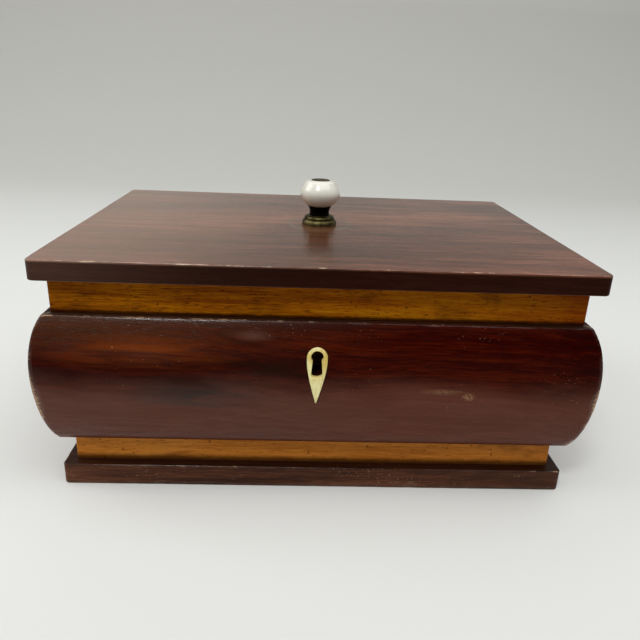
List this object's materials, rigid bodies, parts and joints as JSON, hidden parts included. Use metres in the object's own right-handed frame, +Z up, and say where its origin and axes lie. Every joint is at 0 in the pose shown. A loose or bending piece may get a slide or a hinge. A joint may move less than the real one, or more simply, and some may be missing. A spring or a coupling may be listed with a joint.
{
  "type": "tea caddy",
  "caption": "Hinged-lid tea caddy with swelled cushion sides, satinwood friezes, plank base, drop keyhole plate and turned lid knob; two lidded tea compartments inside",
  "frame": {"origin": "centre of the base board's underside, on the surface the caddy stands on", "axes": "+X to the right along the front, +Y from the front to the hinged back, +Z up"},
  "size_m": [0.3076, 0.2248, 0.164],
  "materials": {
    "aged_brass": "bronzed brass with an olive patina",
    "blackened_brass": "blackened",
    "bone": "polished bone, slightly yellowed",
    "brass": "dull brass",
    "brass_screw": "slotted brass screws",
    "cedar_lining": "thin cedar boards, waxed",
    "mahogany_base": "dark mahogany, worn edges",
    "mahogany_cushion": "French-polished flame mahogany, worn arrises",
    "mahogany_inner": "polished mahogany",
    "mahogany_lid": "French-polished red-brown mahogany, worn, straight grain",
    "pine_carcass": "bare pine",
    "porcelain": "glossy white glaze",
    "satinwood_lower": "honey satinwood, polished, with small nail pits",
    "satinwood_upper": "golden-brown satinwood, polished, grimy lower edge",
    "steel": "dark steel",
    "tin_foil": "thin grey tin-lead foil, dull"
  },
  "bodies": {
    "case": {"base_board": "mahogany_base", "base_screws": "steel", "bottom_board": "pine_carcass", "carcass_back": "pine_carcass", "carcass_front": "pine_carcass", "carcass_left": "pine_carcass", "carcass_right": "pine_carcass", "cushion_back": "mahogany_cushion", "cushion_front": "mahogany_cushion", "cushion_left": "mahogany_cushion", "cushion_right": "mahogany_cushion", "escutcheon": "bone", "hinge_case_screws": "brass_screw", "hinge_left_case_leaf": "brass", "hinge_left_pin": "steel", "hinge_right_case_leaf": "brass", "hinge_right_pin": "steel", "lining_left_back": "cedar_lining", "lining_left_front": "cedar_lining", "lining_left_inner": "cedar_lining", "lining_left_outer": "cedar_lining", "lining_right_back": "cedar_lining", "lining_right_front": "cedar_lining", "lining_right_inner": "cedar_lining", "lining_right_outer": "cedar_lining", "lock_cap": "brass", "lock_plate": "brass", "lock_screws": "brass_screw", "lock_spring": "steel", "lock_studs": "brass", "lower_frieze_back": "satinwood_lower", "lower_frieze_front": "satinwood_lower", "lower_frieze_left": "satinwood_lower", "lower_frieze_right": "satinwood_lower", "partition": "cedar_lining", "tea_liner_left": "tin_foil", "tea_liner_right": "tin_foil"},
    "lid": {"hinge_left_lid_leaf": "brass", "hinge_lid_screws": "brass_screw", "hinge_right_lid_leaf": "brass", "knob_ball": "porcelain", "knob_bolt": "aged_brass", "knob_foot": "aged_brass", "knob_neck": "blackened_brass", "knob_nut": "brass", "knob_washer": "brass", "lid_board": "mahogany_lid", "link_plate": "brass", "link_plate_screws": "brass_screw", "upper_frieze_back": "satinwood_upper", "upper_frieze_front": "satinwood_upper", "upper_frieze_left": "satinwood_upper", "upper_frieze_right": "satinwood_upper"},
    "inner_lid_left": {"inner_lid_left": "mahogany_inner", "inner_knob_left": "bone"},
    "inner_lid_right": {"inner_lid_right": "mahogany_inner", "inner_knob_right": "bone"},
    "lock_bolt": {"lock_bolt": "brass"}
  },
  "joints": [
    {"name": "lid_hinge", "type": "hinge", "parent": "case", "child": "lid", "pos_m": [0, 0.1022, 0.10465], "axis": [-1, 0, 0], "range_deg": [0, 110]},
    {"name": "inner_lid_left_lift", "type": "slide", "parent": "case", "child": "inner_lid_left", "axis": [0, 0, 1], "range_m": [0, 0.018]},
    {"name": "inner_lid_right_lift", "type": "slide", "parent": "case", "child": "inner_lid_right", "axis": [0, 0, 1], "range_m": [0, 0.018]},
    {"name": "lock_bolt_slide", "type": "slide", "parent": "case", "child": "lock_bolt", "axis": [1, 0, 0], "range_m": [0, 0.005]}
  ]
}
